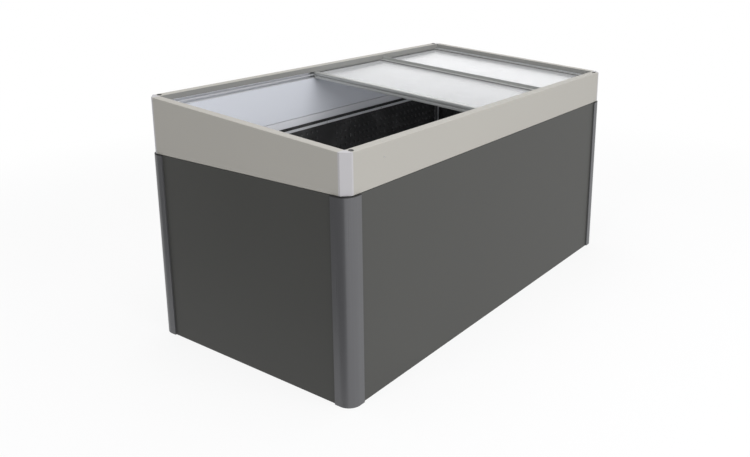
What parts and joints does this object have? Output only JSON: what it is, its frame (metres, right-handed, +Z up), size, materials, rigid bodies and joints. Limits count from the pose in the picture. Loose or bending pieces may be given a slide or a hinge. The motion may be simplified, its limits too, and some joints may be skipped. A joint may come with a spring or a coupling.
{
  "type": "cold frame",
  "caption": "Raised sheet-metal garden bed with a sloping cold frame on top and frosted lids that slide on two levels of track.",
  "frame": {"origin": "on the ground, at the middle of the bed's footprint", "axes": "+X along the length towards the end where the lids are stacked, +Y from the low front to the high back, +Z up"},
  "size_m": [2.03, 1.02, 1.0002],
  "materials": {
    "dark_panel": "satin powder coat",
    "dark_post": "satin powder coat",
    "light_wall": "satin powder coat",
    "light_corner": "satin powder coat",
    "mill_aluminium": "satin anodised",
    "lid_aluminium": "satin anodised",
    "frosted_pane": "frosted",
    "black_liner": "matt",
    "black_plastic": "moulded",
    "black_rubber": "matt",
    "galvanised_steel": "galvanised",
    "galvanised_wire": "galvanised",
    "zinc_fasteners": "zinc plated"
  },
  "bodies": {
    "bed": {"post_front_left": "dark_post", "post_front_right": "dark_post", "post_back_left": "dark_post", "post_back_right": "dark_post", "post_cap_front_left": "black_plastic", "post_cap_front_right": "black_plastic", "post_cap_back_left": "black_plastic", "post_cap_back_right": "black_plastic", "panel_front": "dark_panel", "panel_back": "dark_panel", "panel_left": "dark_panel", "panel_right": "dark_panel", "post_bolts": "zinc_fasteners", "post_nuts": "zinc_fasteners", "stiffener_front": "galvanised_steel", "stiffener_back": "galvanised_steel", "cross_tie": "galvanised_steel", "tie_bolts": "zinc_fasteners", "liner": "black_liner", "liner_strips": "mill_aluminium", "strip_screws": "zinc_fasteners", "vole_mesh": "galvanised_wire", "frame_seal": "black_rubber", "wall_front": "light_wall", "wall_back": "light_wall", "wall_left": "light_wall", "wall_right": "light_wall", "corner_front_left": "light_corner", "corner_front_right": "light_corner", "corner_back_left": "light_corner", "corner_back_right": "light_corner", "corner_screws": "zinc_fasteners", "rim_plugs": "black_plastic", "track_front": "mill_aluminium", "track_back": "mill_aluminium", "track_rivets": "zinc_fasteners", "track_stops": "black_rubber"},
    "upper_lid": {"upper_rail_front": "lid_aluminium", "upper_rail_back": "lid_aluminium", "upper_bar_near": "lid_aluminium", "upper_bar_middle": "lid_aluminium", "upper_bar_far": "lid_aluminium", "upper_pane_near": "frosted_pane", "upper_pane_far": "frosted_pane", "upper_gaskets": "black_rubber", "upper_gliders": "black_plastic", "upper_screws": "zinc_fasteners"},
    "lower_lid": {"lower_rail_front": "lid_aluminium", "lower_rail_back": "lid_aluminium", "lower_bar_near": "lid_aluminium", "lower_bar_middle": "lid_aluminium", "lower_bar_far": "lid_aluminium", "lower_pane_near": "frosted_pane", "lower_pane_far": "frosted_pane", "lower_gaskets": "black_rubber", "lower_gliders": "black_plastic", "lower_screws": "zinc_fasteners"}
  },
  "joints": [
    {"name": "upper_lid_slide", "type": "slide", "parent": "bed", "child": "upper_lid", "axis": [1, 0, 0], "range_m": [-0.888, 0]},
    {"name": "lower_lid_slide", "type": "slide", "parent": "bed", "child": "lower_lid", "axis": [1, 0, 0], "range_m": [-0.888, 0]}
  ]
}
